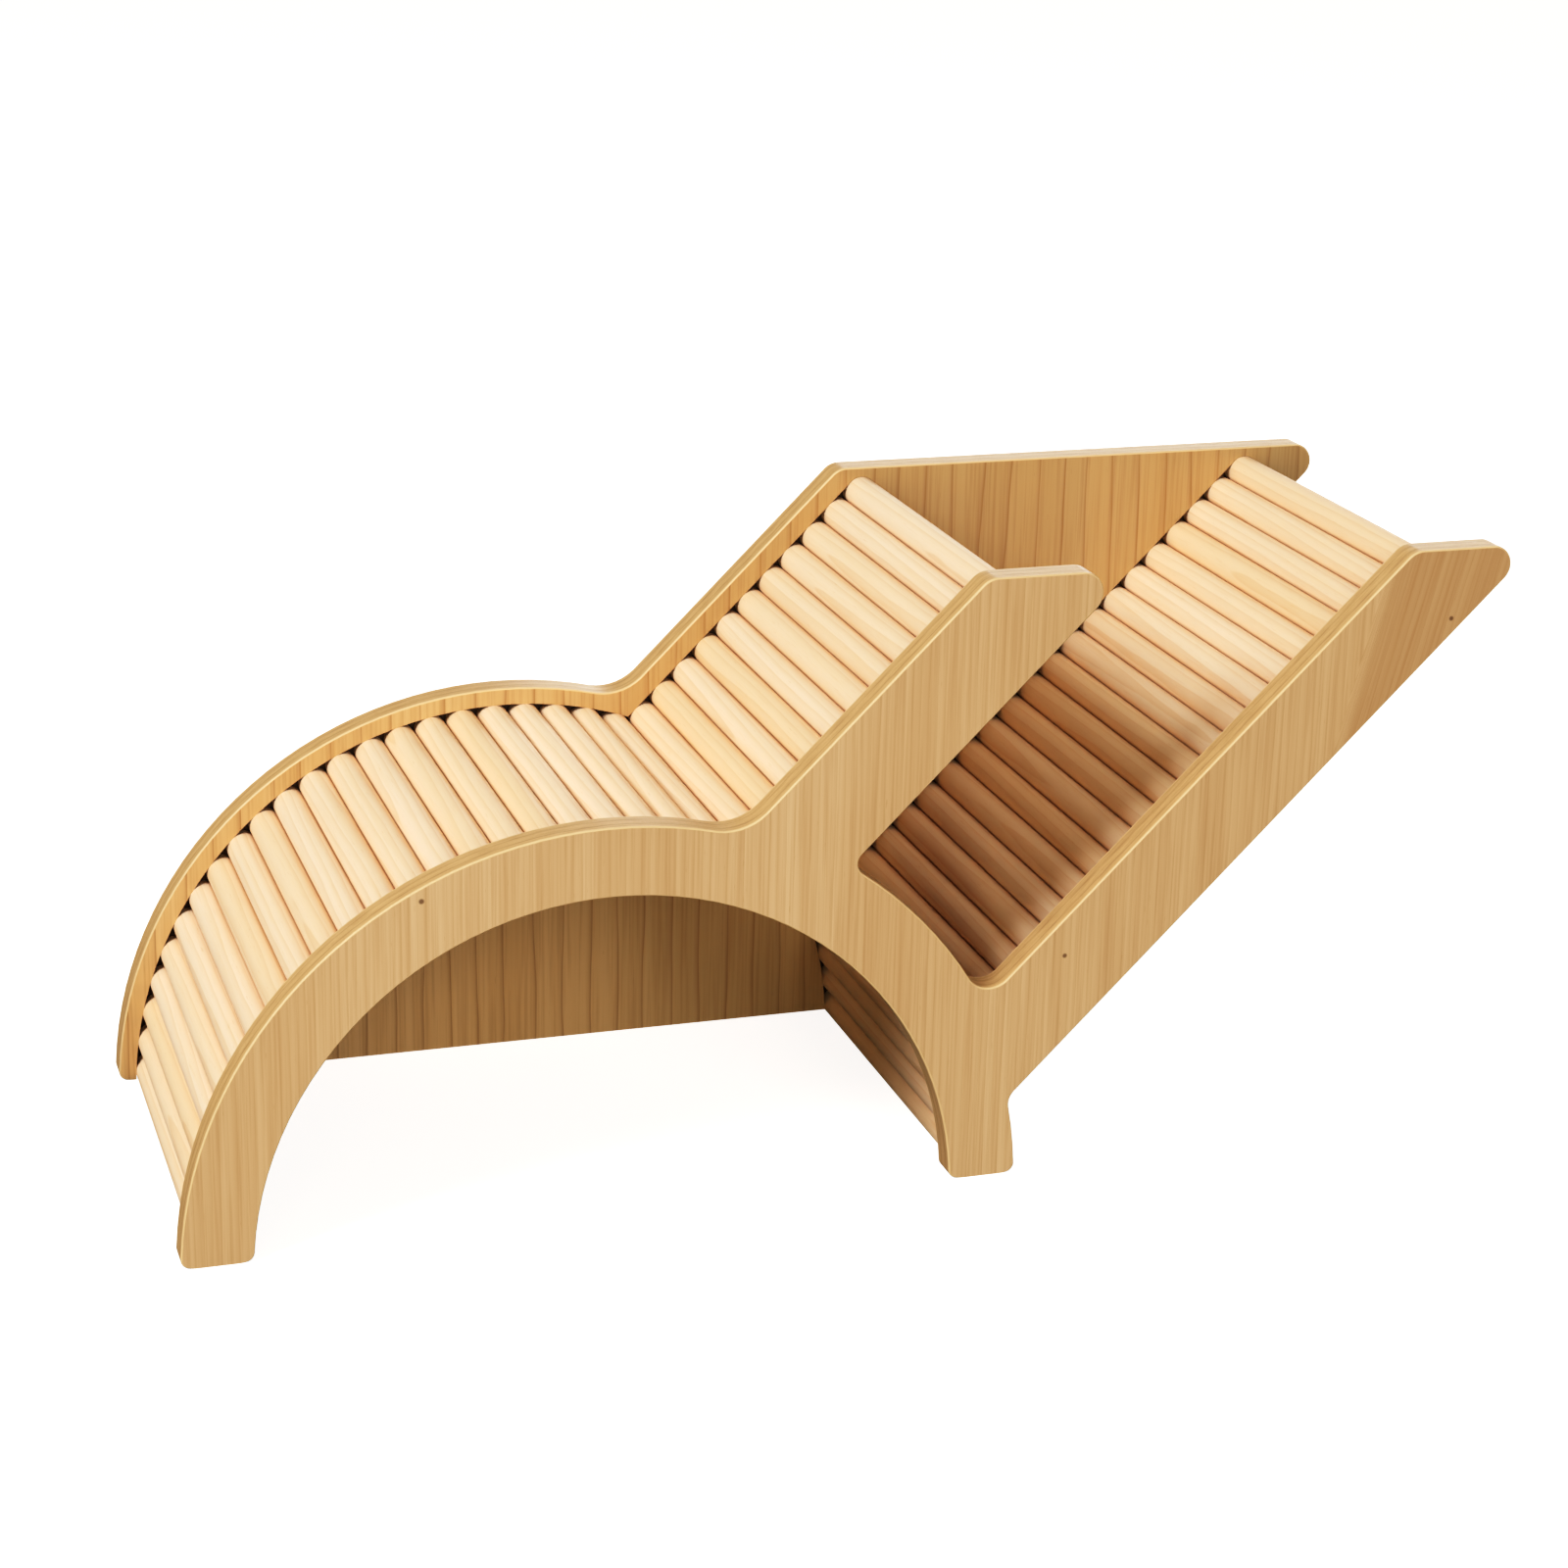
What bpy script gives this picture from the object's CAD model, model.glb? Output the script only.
"""A small climbing bridge: two plywood sides, an arched house, and two ramps of round dowels."""

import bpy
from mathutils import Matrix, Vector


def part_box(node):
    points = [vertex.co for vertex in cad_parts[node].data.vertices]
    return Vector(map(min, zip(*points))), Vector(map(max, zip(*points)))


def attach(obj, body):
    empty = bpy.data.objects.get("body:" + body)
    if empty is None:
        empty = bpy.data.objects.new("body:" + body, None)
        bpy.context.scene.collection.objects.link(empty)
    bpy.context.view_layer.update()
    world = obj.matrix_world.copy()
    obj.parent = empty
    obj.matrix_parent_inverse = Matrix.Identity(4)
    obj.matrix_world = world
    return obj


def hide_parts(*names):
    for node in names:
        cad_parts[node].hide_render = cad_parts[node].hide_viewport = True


bl_info = {
    "name": "Dowel climbing bridge",
    "version": (1, 0, 0),
    "blender": (4, 5, 0),
    "location": "View3D > Sidebar > Climbing bridge",
    "description": "Shapes and finishes the plywood sides and the dowel ramps, and sets the stage",
    "category": "Object",
}

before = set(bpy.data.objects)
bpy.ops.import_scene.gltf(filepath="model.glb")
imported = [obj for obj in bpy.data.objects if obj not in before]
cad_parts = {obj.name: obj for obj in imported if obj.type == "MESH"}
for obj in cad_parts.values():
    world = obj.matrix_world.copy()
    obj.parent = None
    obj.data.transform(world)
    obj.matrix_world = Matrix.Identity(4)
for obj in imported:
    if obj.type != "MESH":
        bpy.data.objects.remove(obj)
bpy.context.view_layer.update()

import math
import random

import bmesh
import bpy
from mathutils import Matrix, Vector

BODY = "root"
SIDES = {"front_panel": "front_side", "back_panel": "back_side"}
RUNS = ("arch", "upper_ramp", "wall", "lower_ramp")

# Distances in metres and angles in radians, used while shaping
SAME_POINT = 0.000001
SAME_PLANE = 0.00002
ARRIS_DEPTH = 0.003
FLAT = math.radians(0.4)
SIDE_SMOOTH = math.radians(40)
DOWEL_SMOOTH = math.radians(50)
RIM_STEPS = 2
MARK_LENGTH = 0.012

# Seams: where the browning starts, how far it fades, and how many radii off a neighbour lies
SEAM_FROM = 0.0002
SEAM_FADE = 0.0007
NEIGHBOUR = 2.3

# Ranges of a dowel's random slice of wood: distance from the heart, height, start and lean
HEART_ACROSS = (0.012, 0.04)
HEART_UP = (-0.02, 0.02)
HEART_ALONG = (0, 5)
LEAN = (-0.02, 0.02)
TONE_POWER = 1.5

# Growth lines: how fast their drift changes along X, Y and Z, and where a line stops short
DRIFT_RATE = (55.0, 55.0, 9.0)
LINE_END = 0.96
PORE_EDGE = 0.12

# How strongly bands, pores and specks show, and the share of a speck that is solid
BAND_DEPTH = 0.35
PORE_DEPTH = 0.3
SPECK_DEPTH = 0.8
SPECK_CORE = 0.4

# Relief in metres of each finish
VENEER_RELIEF = 0.00006
EDGE_RELIEF = 0.00005
GROOVE_RELIEF = 0.0001
DOWEL_RELIEF = 0.00005

# Growth lines' waver and sharpness; where the wood deepens along X, from and to, the slope of
# that boundary, and how far it deepens; X, Z and radius of each dark speck
VENEERS = {
    "front": {
        "waver": 1.2,
        "sharpness": 4.0,
        "deeper_from": 0.117,
        "deeper_to": 0.122,
        "slope": 0.24,
        "deepening": 0.42,
        "specks": ((-0.1317, 0.105, 0.0011), (0.0635, 0.0694, 0.001), (0.1835, 0.1664, 0.001)),
    },
    "back": {
        "waver": 0.7,
        "sharpness": 16.0,
        "deeper_from": -0.16,
        "deeper_to": 0.05,
        "slope": 0.0,
        "deepening": 0.66,
        "specks": (),
    },
}

# Plies through an edge, from the outer face (0) to the inner one (1), and how dark each is
PLIES = (
    (0.0, 0.1),
    (0.24, 0.25),
    (0.3, 0.85),
    (0.34, 0.3),
    (0.52, 0.15),
    (0.6, 0.25),
    (0.66, 0.75),
    (0.7, 0.3),
    (1.0, 0.2),
)

# Place, side and tint of each light, whose power is among the stage settings
LIGHTS = {
    "key": ((-1.7, -0.62, 1.45), 0.9, (1.0, 0.97, 0.93)),
    "fill": ((0.15, -1.85, 0.6), 1.0, (1.0, 0.95, 0.84)),
    "low": ((-1.0, -1.9, 0.35), 0.5, (1.0, 0.86, 0.55)),
    "back": ((1.1, 1.9, 0.2), 1.4, (1.0, 0.97, 0.93)),
}
LIGHT_AIM = (0.0, 0.0, 0.08)
SKY_TINT = (1.0, 0.93, 0.74)
BACKDROP_STRENGTH = 1.3
TONES = ((0.0, 0.0), (0.05, 0.027), (0.15, 0.117), (0.4, 0.42), (0.7, 0.72), (1.0, 0.9))
ALL_CHANNELS = 3


def linear(red, green, blue):
    """Scene colour of a display colour whose channels run from 0 to 255."""

    def channel(value):
        share = value / 255
        return share / 12.92 if share <= 0.04045 else ((share + 0.055) / 1.055) ** 2.4

    return channel(red), channel(green), channel(blue)


def colour(name, description, default):
    """A colour setting."""
    return bpy.props.FloatVectorProperty(
        name=name,
        description=description,
        subtype="COLOR",
        size=3,
        min=0.0,
        max=1.0,
        default=default,
    )


def length(name, description, default):
    """A length setting, in metres."""
    return bpy.props.FloatProperty(
        name=name, description=description, unit="LENGTH", min=0.0, default=default
    )


def amount(name, description, default, most=1.0):
    """A setting between nought and a highest value."""
    return bpy.props.FloatProperty(
        name=name, description=description, min=0.0, max=most, default=default
    )


class SideSettings(bpy.types.PropertyGroup):
    """Sizes and colours of the two plywood sides."""

    arris_round: length("Arris rounding", "Width of the rounded arrises", 0.001)
    arris_steps: bpy.props.IntProperty(
        name="Arris steps", description="Facets across an arris", min=1, default=3
    )
    front_light: colour("Front light", "Pale wood of the front side", linear(229, 195, 157))
    front_dark: colour("Front dark", "Darker wood of the front side", linear(209, 171, 131))
    back_light: colour("Back light", "Pale wood of the back side", linear(221, 184, 137))
    back_dark: colour("Back dark", "Darker wood of the back side", linear(200, 160, 111))
    front_deep: colour("Front deep", "Wood at the tip of the front side", linear(164, 116, 66))
    back_deep: colour("Back deep", "Wood on the right of the back side", linear(164, 134, 92))
    front_line: colour("Front lines", "Growth lines of the front side", linear(166, 116, 64))
    back_line: colour("Back lines", "Growth lines of the back side", linear(132, 86, 42))
    edge_light: colour("Edge light", "Pale plies on the edges", linear(213, 177, 130))
    edge_dark: colour("Edge dark", "Glue lines on the edges", linear(168, 130, 88))
    arris_colour: colour("Arris", "Sanded wood along the arrises", linear(232, 198, 153))
    groove_colour: colour("Grooves", "Scorched wood inside the grooves", linear(74, 44, 20))
    speck_colour: colour("Specks", "Small dark specks on the front side", linear(96, 62, 34))
    front_spacing: length("Front spacing", "Distance between the front side's lines", 0.0025)
    back_spacing: length("Back spacing", "Distance between the back side's lines", 0.0094)
    front_lines: amount("Front line depth", "How strongly the front side's lines show", 0.22)
    back_lines: amount("Back line depth", "How strongly the back side's lines show", 1.0)


class DowelSettings(bpy.types.PropertyGroup):
    """Shape and colours of the round dowels."""

    around: bpy.props.IntProperty(
        name="Around", description="Facets around a dowel", min=12, default=48
    )
    along: bpy.props.IntProperty(
        name="Along", description="Cuts along a dowel", min=1, default=10
    )
    end_round: length("End rounding", "Rounding of a dowel's rim", 0.0005)
    turning: length("Turning marks", "How far a dowel is out of round", 0.00003)
    swell: length("Swell", "How far a dowel is swollen, to touch its neighbours", 0.0001)
    cream: colour("Cream", "Palest dowels", linear(254, 223, 193))
    honey: colour("Honey", "Warmest dowels", linear(249, 212, 173))
    ring: colour("Growth lines", "Growth lines of the dowels", linear(222, 168, 112))
    ring_spacing: length("Ring spacing", "Distance between growth rings", 0.0028)
    ring_depth: amount("Ring depth", "How strongly the rings show", 0.36)
    seam: colour("Seams", "Browned wood where dowels touch", linear(126, 78, 36))
    seam_depth: amount("Seam depth", "How strongly the seams show", 0.42)
    glow: amount("Glow", "How much light passes through the outer wood", 0.1)
    glow_depth: length("Glow depth", "How far light passes into the wood", 0.002)
    seed: bpy.props.IntProperty(
        name="Seed", description="Start of the dowels' random turns and tones", default=11
    )


class StageSettings(bpy.types.PropertyGroup):
    """Floor, lights and camera."""

    floor_size: length("Floor size", "Side of the square floor", 12.0)
    floor_colour: colour("Floor", "Colour of the floor", linear(250, 250, 250))
    floor_glow: amount("Floor glow", "Evens out the floor's shadows", 0.95, 2.0)
    sky_strength: amount("Sky", "Strength of the soft light from above", 0.35, 10.0)
    key_power: bpy.props.FloatProperty(
        name="Key light", description="Power of the main light", unit="POWER", default=45.0
    )
    fill_power: bpy.props.FloatProperty(
        name="Fill light", description="Power of the front light", unit="POWER", default=17.6
    )
    low_power: bpy.props.FloatProperty(
        name="Low light", description="Power of the low, warm light", unit="POWER", default=7.2
    )
    back_power: bpy.props.FloatProperty(
        name="Back light", description="Power of the light from behind", unit="POWER", default=44.0
    )
    camera_place: bpy.props.FloatVectorProperty(
        name="Camera",
        description="Where the camera stands",
        subtype="TRANSLATION",
        default=(-0.31126, -0.94669, 0.44384),
    )
    camera_yaw: bpy.props.FloatProperty(
        name="Yaw",
        description="Turn of the camera towards the right",
        subtype="ANGLE",
        default=math.radians(18.0746),
    )
    camera_pitch: bpy.props.FloatProperty(
        name="Pitch",
        description="How far the camera looks down",
        subtype="ANGLE",
        default=math.radians(18.7972),
    )
    camera_roll: bpy.props.FloatProperty(
        name="Roll",
        description="Turn of the camera about its own line of sight",
        subtype="ANGLE",
        default=math.radians(-1.3479),
    )
    lens: bpy.props.FloatProperty(
        name="Lens", description="Focal length in millimetres", default=78.02
    )


# Selection and pieces


def clear_selection():
    """Leaves edit mode and selects nothing."""
    if bpy.context.object and bpy.context.object.mode != "OBJECT":
        bpy.ops.object.mode_set(mode="OBJECT")
    bpy.ops.object.select_all(action="DESELECT")


def pick(piece):
    """Selects one piece alone."""
    clear_selection()
    piece.select_set(True)
    bpy.context.view_layer.objects.active = piece


def select_parts(piece, kind, test):
    """In edit mode, selects the edges or faces that pass a test."""
    bpy.ops.mesh.select_mode(type="EDGE" if kind == "edges" else "FACE")
    bpy.ops.mesh.select_all(action="DESELECT")
    shape = bmesh.from_edit_mesh(piece.data)
    for part in getattr(shape, kind):
        if test(part):
            part.select_set(True)
    bmesh.update_edit_mesh(piece.data)


def finish_piece(piece, node_name):
    """Puts a finished piece in the place of its CAD node."""
    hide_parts(node_name)
    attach(piece, BODY)


# Material building


class Graph:
    """A node tree that is filled from left to right."""

    def __init__(self, tree):
        self.tree = tree

    def add(self, kind, settings=None, **inputs):
        made = self.tree.nodes.new(kind)
        for name, value in (settings or {}).items():
            setattr(made, name, value)
        for name, value in inputs.items():
            self.feed(made.inputs[name.replace("_", " ")], value)
        return made

    def feed(self, socket, value):
        if isinstance(value, bpy.types.NodeSocket):
            self.tree.links.new(value, socket)
        elif isinstance(value, tuple) and socket.type == "RGBA" and len(value) == 3:
            socket.default_value = (*value, 1.0)
        else:
            socket.default_value = value

    def math(self, operation, *values, clamp=False):
        made = self.add("ShaderNodeMath", {"operation": operation, "use_clamp": clamp})
        for socket, value in zip(made.inputs, values):
            self.feed(socket, value)
        return made.outputs[0]

    def vector(self, x, y, z):
        return self.add("ShaderNodeCombineXYZ", X=x, Y=y, Z=z).outputs[0]

    def mix(self, share, first, second, blend="MIX"):
        made = self.add("ShaderNodeMix", {"data_type": "RGBA", "blend_type": blend})
        self.feed(made.inputs[0], share)
        self.feed(made.inputs[6], first)
        self.feed(made.inputs[7], second)
        return made.outputs[2]

    def ramp(self, value, low, high, out_low=0.0, out_high=1.0, smooth=True):
        made = self.add(
            "ShaderNodeMapRange",
            {"interpolation_type": "SMOOTHSTEP" if smooth else "LINEAR"},
        )
        for socket, given in zip(made.inputs, (value, low, high, out_low, out_high)):
            self.feed(socket, given)
        return made.outputs[0]

    def noise(self, place, scale, detail=2.0, distortion=0.0):
        made = self.add(
            "ShaderNodeTexNoise",
            Vector=place,
            Scale=scale,
            Detail=detail,
            Distortion=distortion,
        )
        return made.outputs[0]

    def parts(self, place):
        made = self.add("ShaderNodeSeparateXYZ", Vector=place)
        return made.outputs

    def group(self, name, **inputs):
        made = self.add("ShaderNodeGroup", {"node_tree": bpy.data.node_groups[name]})
        for key, value in inputs.items():
            self.feed(made.inputs[key.replace("_", " ")], value)
        return made.outputs


def new_group(name, inputs, outputs):
    """An empty shader node group with named sockets, and its graph, input and output nodes."""
    tree = bpy.data.node_groups.new(name, "ShaderNodeTree")
    for label, kind, value in inputs:
        socket = tree.interface.new_socket(label, in_out="INPUT", socket_type=kind)
        if value is not None:
            socket.default_value = value
    for label, kind in outputs:
        tree.interface.new_socket(label, in_out="OUTPUT", socket_type=kind)
    graph = Graph(tree)
    return graph, graph.add("NodeGroupInput").outputs, graph.add("NodeGroupOutput").inputs


def make_fibre_group():
    """Streaks that run along the wood: an even noise, drawn out along Z."""
    graph, given, result = new_group(
        "Wood fibres",
        [
            ("Place", "NodeSocketVector", None),
            ("Width", "NodeSocketFloat", 0.001),
            ("Length", "NodeSocketFloat", 0.02),
            ("Detail", "NodeSocketFloat", 2.0),
        ],
        [("Streak", "NodeSocketFloat")],
    )
    across = graph.math("DIVIDE", 1.0, given["Width"])
    along = graph.math("DIVIDE", 1.0, given["Length"])
    scaled = graph.add("ShaderNodeVectorMath", {"operation": "MULTIPLY"})
    graph.feed(scaled.inputs[0], given["Place"])
    graph.feed(scaled.inputs[1], graph.vector(across, across, along))
    streak = graph.add(
        "ShaderNodeTexNoise", Vector=scaled.outputs[0], Scale=1.0, Detail=given["Detail"]
    )
    graph.feed(result["Streak"], streak.outputs[0])


def make_line_group():
    """Growth lines: each deepens slowly across its width, then stops short."""
    graph, given, result = new_group(
        "Growth lines",
        [
            ("Across", "NodeSocketFloat", 0.0),
            ("Place", "NodeSocketVector", None),
            ("Spacing", "NodeSocketFloat", 0.005),
            ("Waver", "NodeSocketFloat", 0.4),
            ("Sharpness", "NodeSocketFloat", 5.0),
        ],
        [("Line", "NodeSocketFloat"), ("Band", "NodeSocketFloat")],
    )
    slow = graph.add("ShaderNodeVectorMath", {"operation": "MULTIPLY"})
    graph.feed(slow.inputs[0], given["Place"])
    graph.feed(slow.inputs[1], DRIFT_RATE)
    drift = graph.math("SUBTRACT", graph.noise(slow.outputs[0], scale=1.0, detail=3.0), 0.5)
    counted = graph.math(
        "ADD",
        graph.math("DIVIDE", given["Across"], given["Spacing"]),
        graph.math("MULTIPLY", drift, given["Waver"]),
    )
    share = graph.math("FRACT", counted)
    rise = graph.math("POWER", share, given["Sharpness"])
    fall = graph.ramp(share, LINE_END, 1.0, out_low=1.0, out_high=0.0)
    graph.feed(result["Line"], graph.math("MULTIPLY", rise, fall))
    ring = graph.add(
        "ShaderNodeTexWhiteNoise", {"noise_dimensions": "1D"}, W=graph.math("FLOOR", counted)
    )
    graph.feed(result["Band"], ring.outputs[0])


def make_fleck_group():
    """Short dark pores, scattered thinly along the fibres."""
    graph, given, result = new_group(
        "Pores",
        [
            ("Place", "NodeSocketVector", None),
            ("Width", "NodeSocketFloat", 0.0004),
            ("Length", "NodeSocketFloat", 0.004),
            ("Rarity", "NodeSocketFloat", 0.7),
        ],
        [("Pore", "NodeSocketFloat")],
    )
    streak = graph.group(
        "Wood fibres",
        Place=given["Place"],
        Width=given["Width"],
        Length=given["Length"],
        Detail=1.0,
    )[0]
    top = graph.math("ADD", given["Rarity"], PORE_EDGE)
    graph.feed(result["Pore"], graph.ramp(streak, given["Rarity"], top))


def new_material(name):
    """A fresh material with a Principled shader; returns it with its graph and shader."""
    made = bpy.data.materials.new(name)
    made.use_nodes = True
    made.node_tree.nodes.clear()
    graph = Graph(made.node_tree)
    shader = graph.add("ShaderNodeBsdfPrincipled")
    out = graph.add("ShaderNodeOutputMaterial")
    graph.feed(out.inputs["Surface"], shader.outputs[0])
    return made, graph, shader


def lacquer(graph, shader, base, rough, height, depth, coat=0.06):
    """Joins colour, roughness and relief to the shader, under a thin satin lacquer."""
    graph.feed(shader.inputs["Base Color"], base)
    graph.feed(shader.inputs["Roughness"], rough)
    shader.inputs["Coat Weight"].default_value = coat
    shader.inputs["Coat Roughness"].default_value = 0.3
    bump = graph.add("ShaderNodeBump", Height=height)
    bump.inputs["Strength"].default_value = 0.5
    bump.inputs["Distance"].default_value = depth
    graph.feed(shader.inputs["Normal"], bump.outputs[0])


def veneer(side, settings):
    """Face of the front or back side: upright grain, which leans near the ramp's tip."""
    light, dark, deep, line = (
        getattr(settings, f"{side}_{tone}")[:] for tone in ("light", "dark", "deep", "line")
    )
    figure = VENEERS[side]
    made, graph, shader = new_material(f"{side} veneer")
    place = graph.add("ShaderNodeTexCoord").outputs["Object"]
    x, y, z = graph.parts(place)
    slope, bounds = figure["slope"], (figure["deeper_from"], figure["deeper_to"])
    drift = graph.math("SUBTRACT", x, graph.math("MULTIPLY", z, slope))
    tip = graph.ramp(drift, *bounds, out_high=slope)
    upright = graph.math("SUBTRACT", x, graph.math("MULTIPLY", z, tip))
    grain = graph.vector(upright, y, z)
    broad = graph.group("Wood fibres", Place=grain, Width=0.045, Length=0.3, Detail=1.0)[0]
    streak = graph.group("Wood fibres", Place=grain, Width=0.0036, Length=0.2, Detail=3.0)[0]
    fine = graph.group("Wood fibres", Place=grain, Width=0.0008, Length=0.045, Detail=3.0)[0]
    pore = graph.group("Pores", Place=grain, Width=0.00045, Length=0.005, Rarity=0.72)[0]
    rings, bands = graph.group(
        "Growth lines",
        Across=upright,
        Place=grain,
        Spacing=getattr(settings, f"{side}_spacing"),
        Waver=figure["waver"],
        Sharpness=figure["sharpness"],
    )
    tone = graph.math(
        "ADD",
        graph.ramp(broad, 0.3, 0.7, out_high=0.6),
        graph.ramp(streak, 0.35, 0.65, out_high=0.4),
    )
    base = graph.mix(tone, light, dark)
    base = graph.mix(graph.ramp(drift, *bounds, out_high=figure["deepening"]), base, deep)
    base = graph.mix(graph.math("MULTIPLY", bands, BAND_DEPTH), base, dark)
    ring_depth = getattr(settings, f"{side}_lines")
    base = graph.mix(graph.math("MULTIPLY", rings, ring_depth), base, line)
    base = graph.mix(graph.ramp(fine, 0.42, 0.7, out_high=0.22), base, line)
    base = graph.mix(graph.math("MULTIPLY", pore, PORE_DEPTH), base, line)
    for speck_x, speck_z, radius in figure["specks"]:
        away = graph.add("ShaderNodeVectorMath", {"operation": "DISTANCE"})
        graph.feed(away.inputs[0], graph.vector(x, 0.0, z))
        graph.feed(away.inputs[1], (speck_x, 0.0, speck_z))
        mark = graph.ramp(
            away.outputs[1], radius * SPECK_CORE, radius, out_low=SPECK_DEPTH, out_high=0.0
        )
        base = graph.mix(mark, base, settings.speck_colour[:])
    rough = graph.ramp(fine, 0.2, 0.8, out_low=0.5, out_high=0.62)
    height = graph.math("ADD", fine, graph.math("MULTIPLY", rings, -0.5))
    lacquer(graph, shader, base, rough, height, VENEER_RELIEF)
    return made


def ply_edge(name, light, dark, arris, inner_y, outer_y):
    """Sanded edge of the plywood: thin plies from one face to the other, with pale arrises."""
    made, graph, shader = new_material(name)
    place = graph.add("ShaderNodeTexCoord").outputs["Object"]
    x, y, z = graph.parts(place)
    depth = graph.ramp(y, outer_y, inner_y, smooth=False)
    along = graph.math("ADD", x, z)
    wander = graph.math("SUBTRACT", graph.noise(place, scale=60.0), 0.5)
    moved = graph.math("ADD", depth, graph.math("MULTIPLY", wander, 0.05))
    plies = graph.add("ShaderNodeValToRGB", Fac=moved)
    stops = plies.color_ramp.elements
    stops[0].position, stops[1].position = PLIES[0][0], PLIES[-1][0]
    for position, _ in PLIES[1:-1]:
        stops.new(position)
    for stop, (_, value) in zip(stops, PLIES):
        stop.color = (value, value, value, 1.0)
    stretched = graph.vector(graph.math("MULTIPLY", y, 12.0), along, 0.0)
    streak = graph.noise(stretched, scale=90.0, detail=3.0)
    fine = graph.noise(place, scale=1400.0)
    share = graph.math("MULTIPLY", plies.outputs[0], 0.75)
    share = graph.math("ADD", share, graph.ramp(streak, 0.3, 0.75, out_high=0.4), clamp=True)
    base = graph.mix(share, light, dark)
    base = graph.mix(graph.ramp(fine, 0.5, 0.8, out_high=0.18), base, dark)
    rim = graph.math("ABSOLUTE", graph.math("SUBTRACT", depth, 0.5))
    base = graph.mix(graph.ramp(rim, 0.39, 0.45, out_high=0.8), base, arris)
    rough = graph.ramp(fine, 0.2, 0.8, out_low=0.5, out_high=0.65)
    lacquer(graph, shader, base, rough, fine, EDGE_RELIEF)
    return made


def scorched_groove(dark):
    """Inside of the grooves, browned by the cutter."""
    made, graph, shader = new_material("scorched groove")
    place = graph.add("ShaderNodeTexCoord").outputs["Object"]
    patch = graph.noise(place, scale=400.0, detail=3.0)
    charred = tuple(channel * 0.4 for channel in dark)
    base = graph.mix(graph.ramp(patch, 0.35, 0.7, out_high=0.6), dark, charred)
    rough = graph.ramp(patch, 0.2, 0.8, out_low=0.7, out_high=0.85)
    lacquer(graph, shader, base, rough, patch, GROOVE_RELIEF)
    return made


def dowel_wood(name, settings):
    """Turned wood: growth rings cut lengthwise, with fibres, pores, seams and its own tone."""
    made, graph, shader = new_material(name)

    def attribute(label, output):
        node = graph.add("ShaderNodeAttribute", {"attribute_name": label})
        return node.outputs[output]

    place = attribute("grain_place", "Vector")
    x, y = graph.parts(place)[:2]
    from_heart = graph.math(
        "SQRT", graph.math("ADD", graph.math("MULTIPLY", x, x), graph.math("MULTIPLY", y, y))
    )
    rings = graph.group(
        "Growth lines",
        Across=from_heart,
        Place=place,
        Spacing=settings.ring_spacing,
        Waver=1.1,
        Sharpness=3.0,
    )[0]
    streak = graph.group("Wood fibres", Place=place, Width=0.0024, Length=0.07, Detail=2.0)[0]
    fine = graph.group("Wood fibres", Place=place, Width=0.0005, Length=0.014, Detail=3.0)[0]
    pore = graph.group("Pores", Place=place, Width=0.0004, Length=0.006, Rarity=0.68)[0]
    honey, ring, browned = settings.honey[:], settings.ring[:], settings.seam[:]
    base = graph.mix(attribute("tone", "Fac"), settings.cream[:], honey)
    base = graph.mix(graph.ramp(streak, 0.45, 0.8, out_high=0.5), base, honey)
    base = graph.mix(graph.math("MULTIPLY", rings, settings.ring_depth), base, ring)
    base = graph.mix(graph.ramp(fine, 0.5, 0.8, out_high=0.16), base, ring)
    base = graph.mix(graph.math("MULTIPLY", pore, PORE_DEPTH), base, ring)
    seam = graph.math("MULTIPLY", attribute("seam", "Fac"), settings.seam_depth)
    base = graph.mix(seam, base, browned)
    rough = graph.ramp(fine, 0.2, 0.8, out_low=0.58, out_high=0.7)
    lacquer(graph, shader, base, rough, fine, DOWEL_RELIEF, coat=0.0)
    shader.inputs["Specular IOR Level"].default_value = 0.25
    shader.inputs["Subsurface Weight"].default_value = settings.glow
    shader.inputs["Subsurface Radius"].default_value = (1.0, 0.85, 0.6)
    shader.inputs["Subsurface Scale"].default_value = settings.glow_depth
    return made


# Pieces


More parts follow.
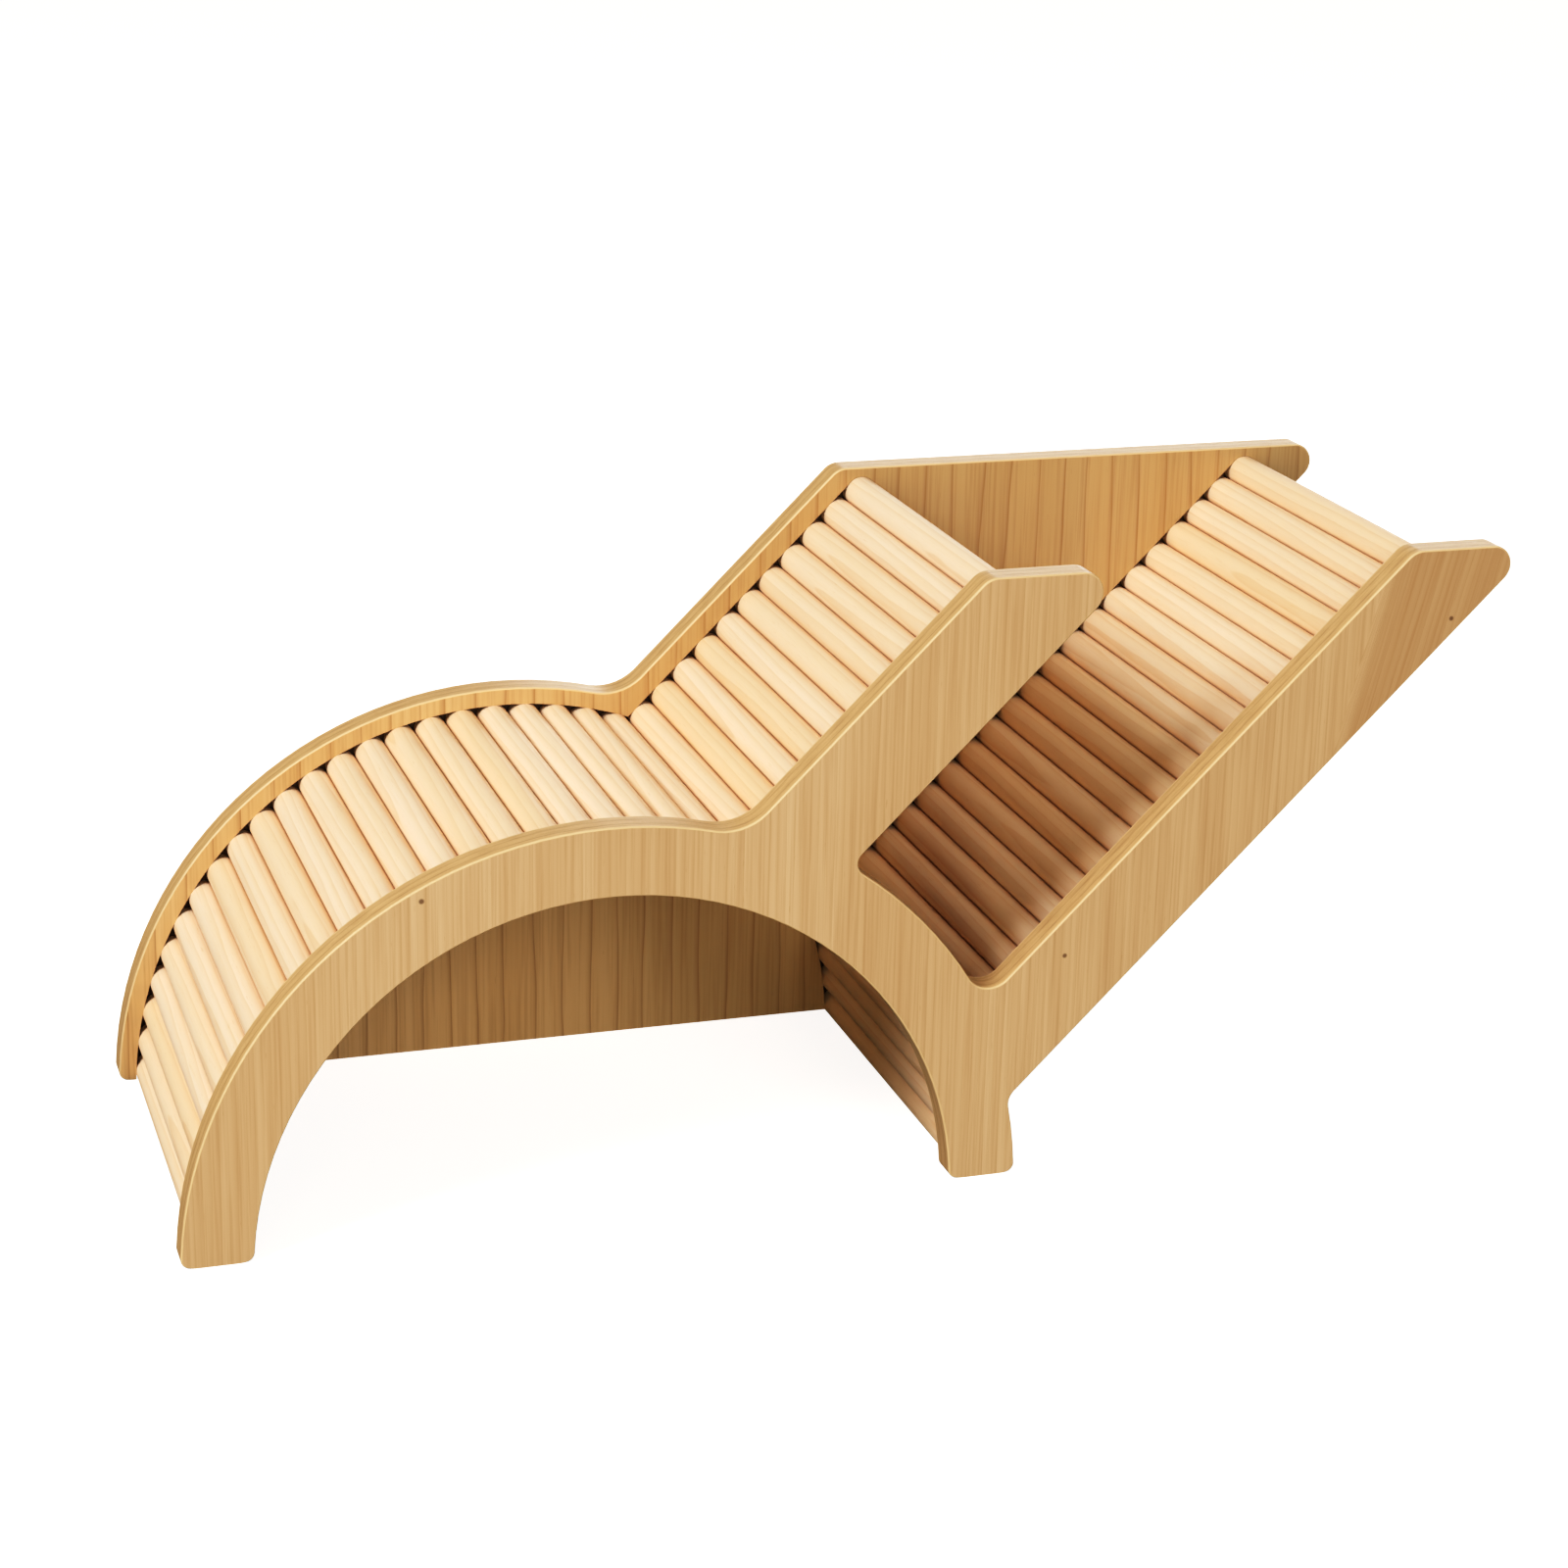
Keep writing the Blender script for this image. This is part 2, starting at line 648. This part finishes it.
def make_side(node_name, face_material, edge_material, groove_material, settings):
    """Copies a side's solid, joins it up, and rounds the arrises of its outline."""
    clear_selection()
    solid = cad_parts[node_name]
    low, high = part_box(node_name)
    piece = bpy.data.objects.new(SIDES[node_name], solid.data.copy())
    bpy.context.scene.collection.objects.link(piece)
    pick(piece)

    def on_face(vert, plane):
        return abs(vert.co.y - plane) < SAME_PLANE

    def outline(edge):
        """Whether an edge lies between a face and the plywood's edge, and not in a groove."""
        for plane, other in ((low.y, high.y), (high.y, low.y)):
            if all(on_face(vert, plane) for vert in edge.verts):
                return any(
                    abs(face.normal.y) < 0.5
                    and all(on_face(v, plane) or on_face(v, other) for v in face.verts)
                    for face in edge.link_faces
                )
        return False

    bpy.ops.object.mode_set(mode="EDIT")
    bpy.ops.mesh.select_all(action="SELECT")
    bpy.ops.mesh.remove_doubles(threshold=SAME_POINT)
    bpy.ops.mesh.dissolve_limited(angle_limit=FLAT)
    select_parts(piece, "edges", outline)
    bpy.ops.mesh.bevel(
        offset=settings.arris_round, segments=settings.arris_steps, profile=0.5, clamp_overlap=True
    )
    bpy.ops.object.mode_set(mode="OBJECT")
    bpy.ops.object.shade_smooth_by_angle(angle=SIDE_SMOOTH)
    keep = piece.modifiers.new("Even shading", "WEIGHTED_NORMAL")
    keep.keep_sharp = True
    keep.weight = 100
    bpy.ops.object.modifier_apply(modifier=keep.name)
    piece.data.materials.clear()
    for material in (face_material, edge_material, groove_material):
        piece.data.materials.append(material)
    for face in piece.data.polygons:
        places = [piece.data.vertices[index].co.y for index in face.vertices]
        if any(low.y + ARRIS_DEPTH < y < high.y - ARRIS_DEPTH for y in places):
            face.material_index = 2
        elif abs(face.normal.y) < 0.98:
            face.material_index = 1
    finish_piece(piece, node_name)


def make_dowel_blank(radius, depth, settings):
    """One turned dowel along Y about the origin, with softened rims and faint turning marks."""
    clear_selection()
    bpy.ops.mesh.primitive_cylinder_add(
        vertices=settings.around, radius=radius, depth=depth, rotation=(math.pi / 2, 0, 0)
    )
    blank = bpy.context.object
    blank.name = "dowel_blank"
    bpy.ops.object.transform_apply(location=True, rotation=True, scale=True)
    bpy.ops.object.mode_set(mode="EDIT")
    select_parts(
        blank, "edges", lambda edge: abs(edge.verts[0].co.y - edge.verts[1].co.y) > depth / 2
    )
    bpy.ops.mesh.subdivide(number_cuts=settings.along)
    select_parts(
        blank,
        "edges",
        lambda edge: all(abs(abs(vert.co.y) - depth / 2) < SAME_POINT for vert in edge.verts)
        and len(edge.link_faces) == 2,
    )
    bpy.ops.mesh.bevel(offset=settings.end_round, segments=RIM_STEPS, profile=0.5)
    bpy.ops.object.mode_set(mode="OBJECT")
    marks = bpy.data.textures.new("turning marks", "CLOUDS")
    marks.noise_scale = MARK_LENGTH
    waver = blank.modifiers.new("Turning", "DISPLACE")
    waver.texture = marks
    waver.texture_coords = "LOCAL"
    waver.strength = settings.turning
    waver.mid_level = 0.5
    bpy.ops.object.modifier_apply(modifier=waver.name)
    bpy.ops.object.shade_smooth_by_angle(angle=DOWEL_SMOOTH)
    return blank


def dowel_middle(node_name, radius, swell):
    """Middle of a dowel, told from its top, since the lowest ones are planed off below."""
    low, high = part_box(node_name)
    return Vector(((low.x + high.x) / 2, (low.y + high.y) / 2, high.z - radius + swell))


def mark_seams(shape, middle, middles, radius):
    """Writes how near each point is to the next dowel, from 0 to 1 where they touch."""
    reach = NEIGHBOUR * radius
    near = [other for other in middles if 0 < (other - middle).length < reach]
    seam = shape.attributes.new("seam", "FLOAT", "POINT")
    for vert, there in zip(shape.vertices, seam.data):
        gaps = [math.hypot(vert.co.x - other.x, vert.co.z - other.z) - radius for other in near]
        marks = [1 - (gap - SEAM_FROM) / SEAM_FADE for gap in gaps]
        there.value = min(1.0, max([0.0, *marks]))


def make_dowel(blank, node_name, middles, radius, swell, material, draw):
    """A copy of the blank in its groove, turned at random, with its own slice of wood."""
    middle = dowel_middle(node_name, radius, swell)
    shape = blank.data.copy()
    turn = Matrix.Rotation(draw.uniform(0, 2 * math.pi), 4, "Y")
    flip = Matrix.Rotation(draw.choice((0.0, math.pi)), 4, "Z")
    shape.transform(flip @ turn)
    heart = Vector([draw.uniform(*ends) for ends in (HEART_ACROSS, HEART_UP, HEART_ALONG)])
    lean = draw.uniform(*LEAN)
    grain = shape.attributes.new("grain_place", "FLOAT_VECTOR", "POINT")
    for vert, there in zip(shape.vertices, grain.data):
        across = vert.co.x + lean * vert.co.y
        there.vector = (across + heart.x, vert.co.z + heart.y, vert.co.y + heart.z)
    tone = shape.attributes.new("tone", "FLOAT", "POINT")
    shade = draw.random() ** TONE_POWER
    for there in tone.data:
        there.value = shade
    shape.transform(Matrix.Translation(middle))
    mark_seams(shape, middle, middles, radius)
    piece = bpy.data.objects.new(node_name.replace("dowel", "rung"), shape)
    bpy.context.scene.collection.objects.link(piece)
    if min(vert.co.z for vert in shape.vertices) < 0:
        plane_off(piece)
    piece.data.materials.clear()
    piece.data.materials.append(material)
    finish_piece(piece, node_name)


def plane_off(piece):
    """Planes a dowel flush with the feet."""
    pick(piece)
    bpy.ops.object.mode_set(mode="EDIT")
    bpy.ops.mesh.select_all(action="SELECT")
    bpy.ops.mesh.bisect(
        plane_co=(0, 0, 0),
        plane_no=(0, 0, 1),
        use_fill=True,
        clear_inner=True,
        threshold=SAME_POINT,
    )
    bpy.ops.object.mode_set(mode="OBJECT")


# Operators


class BRIDGE_OT_wood_patterns(bpy.types.Operator):
    """Build the wood patterns that the finishes share"""

    bl_idname = "bridge.wood_patterns"
    bl_label = "Wood patterns"

    def execute(self, context):
        make_fibre_group()
        make_line_group()
        make_fleck_group()
        return {"FINISHED"}


class BRIDGE_OT_sides(bpy.types.Operator):
    """Shape and finish the front and back plywood sides"""

    bl_idname = "bridge.sides"
    bl_label = "Plywood sides"

    def execute(self, context):
        chosen = context.scene.bridge_sides
        front_low, front_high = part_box("front_panel")
        back_low, back_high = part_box("back_panel")
        front_face = veneer("front", chosen)
        back_face = veneer("back", chosen)
        colours = chosen.edge_light[:], chosen.edge_dark[:], chosen.arris_colour[:]
        front_edge = ply_edge("front edge", *colours, front_high.y, front_low.y)
        back_edge = ply_edge("back edge", *colours, back_low.y, back_high.y)
        groove = scorched_groove(chosen.groove_colour[:])
        make_side("front_panel", front_face, front_edge, groove, chosen)
        make_side("back_panel", back_face, back_edge, groove, chosen)
        return {"FINISHED"}


class BRIDGE_OT_dowels(bpy.types.Operator):
    """Turn one dowel and lay a copy of it in each place of the two runs"""

    bl_idname = "bridge.dowels"
    bl_label = "Dowels"

    def execute(self, context):
        chosen = context.scene.bridge_dowels
        heads = tuple(f"{run}_dowel_" for run in RUNS)
        names = [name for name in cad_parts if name.startswith(heads)]
        if not names:
            raise RuntimeError("the frame holds no dowels")
        boxes = [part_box(name) for name in names]
        radius = max(high.z - low.z for low, high in boxes) / 2 + chosen.swell
        low, high = boxes[0]
        depth = high.y - low.y
        wood = dowel_wood("turned pine", chosen)
        blank = make_dowel_blank(radius, depth, chosen)
        draw = random.Random(chosen.seed)
        middles = [dowel_middle(name, radius, chosen.swell) for name in names]
        for name in names:
            make_dowel(blank, name, middles, radius, chosen.swell, wood, draw)
        bpy.data.objects.remove(blank)
        return {"FINISHED"}


class BRIDGE_OT_stage(bpy.types.Operator):
    """Lay the floor, hang the lights and stand the camera"""

    bl_idname = "bridge.stage"
    bl_label = "Stage"

    def execute(self, context):
        chosen = context.scene.bridge_stage
        scene = context.scene
        scene.view_settings.view_transform = "Standard"
        self.set_tone(scene)
        self.lay_floor(chosen)
        self.hang_lights(scene, chosen)
        self.stand_camera(scene, chosen)
        return {"FINISHED"}

    def set_tone(self, scene):
        """Bends the tones: deeper shade, gentler highlights."""
        scene.view_settings.use_curve_mapping = True
        tones = scene.view_settings.curve_mapping
        tones.extend = "EXTRAPOLATED"
        curve = tones.curves[ALL_CHANNELS]
        curve.points[0].location = TONES[0]
        curve.points[1].location = TONES[-1]
        for level in TONES[1:-1]:
            curve.points.new(*level)
        tones.update()

    def lay_floor(self, chosen):
        """Lays a pale floor that glows a little and casts no colour on the wood."""
        clear_selection()
        bpy.ops.mesh.primitive_plane_add(size=chosen.floor_size)
        floor = bpy.context.object
        floor.name = "floor"
        made, _, shader = new_material("pale floor")
        shader.inputs["Base Color"].default_value = (*chosen.floor_colour, 1.0)
        shader.inputs["Roughness"].default_value = 0.9
        shader.inputs["Specular IOR Level"].default_value = 0.1
        shader.inputs["Emission Color"].default_value = (1.0, 1.0, 1.0, 1.0)
        shader.inputs["Emission Strength"].default_value = chosen.floor_glow
        floor.data.materials.append(made)
        floor.visible_diffuse = False
        floor.visible_glossy = False

    def hang_lights(self, scene, chosen):
        """Sets a soft warm sky, a white backdrop behind the object, and the square lights."""
        world = bpy.data.worlds.new("studio")
        scene.world = world
        world.use_nodes = True
        world.node_tree.nodes.clear()
        graph = Graph(world.node_tree)
        direction = graph.add("ShaderNodeTexCoord").outputs["Generated"]
        up = graph.parts(direction)[2]
        glow = graph.ramp(up, -0.05, 0.9, out_high=chosen.sky_strength, smooth=False)
        seen = graph.add("ShaderNodeLightPath").outputs["Is Camera Ray"]
        sky = graph.add("ShaderNodeBackground", Color=SKY_TINT, Strength=glow)
        wall = graph.add(
            "ShaderNodeBackground", Color=(1.0, 1.0, 1.0), Strength=BACKDROP_STRENGTH
        )
        both = graph.add("ShaderNodeMixShader", Fac=seen)
        graph.feed(both.inputs[1], sky.outputs[0])
        graph.feed(both.inputs[2], wall.outputs[0])
        out = graph.add("ShaderNodeOutputWorld")
        graph.feed(out.inputs["Surface"], both.outputs[0])
        for name, (place, size, tint) in LIGHTS.items():
            power = getattr(chosen, f"{name}_power")
            self.hang_light(scene, f"{name} light", place, size, power, tint)

    def hang_light(self, scene, name, place, size, power, tint):
        """Hangs one square light, turned towards the object."""
        lamp = bpy.data.lights.new(name, "AREA")
        lamp.color = tint
        lamp.shape, lamp.size, lamp.energy = "SQUARE", size, power
        holder = bpy.data.objects.new(name, lamp)
        scene.collection.objects.link(holder)
        holder.location = place
        aim = Vector(LIGHT_AIM) - Vector(place)
        holder.rotation_mode = "QUATERNION"
        holder.rotation_quaternion = aim.to_track_quat("-Z", "Y")

    def stand_camera(self, scene, chosen):
        """Stands the camera in its place, turned by its yaw, pitch and roll."""
        lens = bpy.data.cameras.new("camera")
        lens.sensor_width = 36.0
        lens.lens = chosen.lens
        camera = bpy.data.objects.new("camera", lens)
        scene.collection.objects.link(camera)
        yaw, pitch, roll = chosen.camera_yaw, chosen.camera_pitch, chosen.camera_roll
        forward = Vector(
            (
                math.sin(yaw) * math.cos(pitch),
                math.cos(yaw) * math.cos(pitch),
                -math.sin(pitch),
            )
        )
        level = Vector((math.cos(yaw), -math.sin(yaw), 0))
        down = forward.cross(level)
        right = math.cos(roll) * level + math.sin(roll) * down
        down = math.cos(roll) * down - math.sin(roll) * level
        turned = Matrix((right, -down, -forward)).transposed()
        camera.matrix_world = Matrix.Translation(chosen.camera_place) @ turned.to_4x4()
        lens.clip_start, lens.clip_end = 0.05, 50.0
        scene.camera = camera


class BRIDGE_PT_panel(bpy.types.Panel):
    """Steps that build the bridge, with their settings"""

    bl_idname = "BRIDGE_PT_panel"
    bl_label = "Climbing bridge"
    bl_space_type = "VIEW_3D"
    bl_region_type = "UI"
    bl_category = "Climbing bridge"

    def draw(self, context):
        for step in STEPS:
            self.layout.operator(step.bl_idname)


SETTINGS = {
    "bridge_sides": SideSettings,
    "bridge_dowels": DowelSettings,
    "bridge_stage": StageSettings,
}
STEPS = (BRIDGE_OT_wood_patterns, BRIDGE_OT_sides, BRIDGE_OT_dowels, BRIDGE_OT_stage)
CLASSES = (*SETTINGS.values(), *STEPS, BRIDGE_PT_panel)


def register():
    for made in CLASSES:
        bpy.utils.register_class(made)
    for name, group in SETTINGS.items():
        setattr(bpy.types.Scene, name, bpy.props.PointerProperty(type=group))


def unregister():
    for name in SETTINGS:
        delattr(bpy.types.Scene, name)
    for made in reversed(CLASSES):
        bpy.utils.unregister_class(made)


def main():
    register()
    bpy.ops.bridge.wood_patterns()
    bpy.ops.bridge.sides()
    bpy.ops.bridge.dowels()
    bpy.ops.bridge.stage()
    clear_selection()


if __name__ == "__main__":
    main()
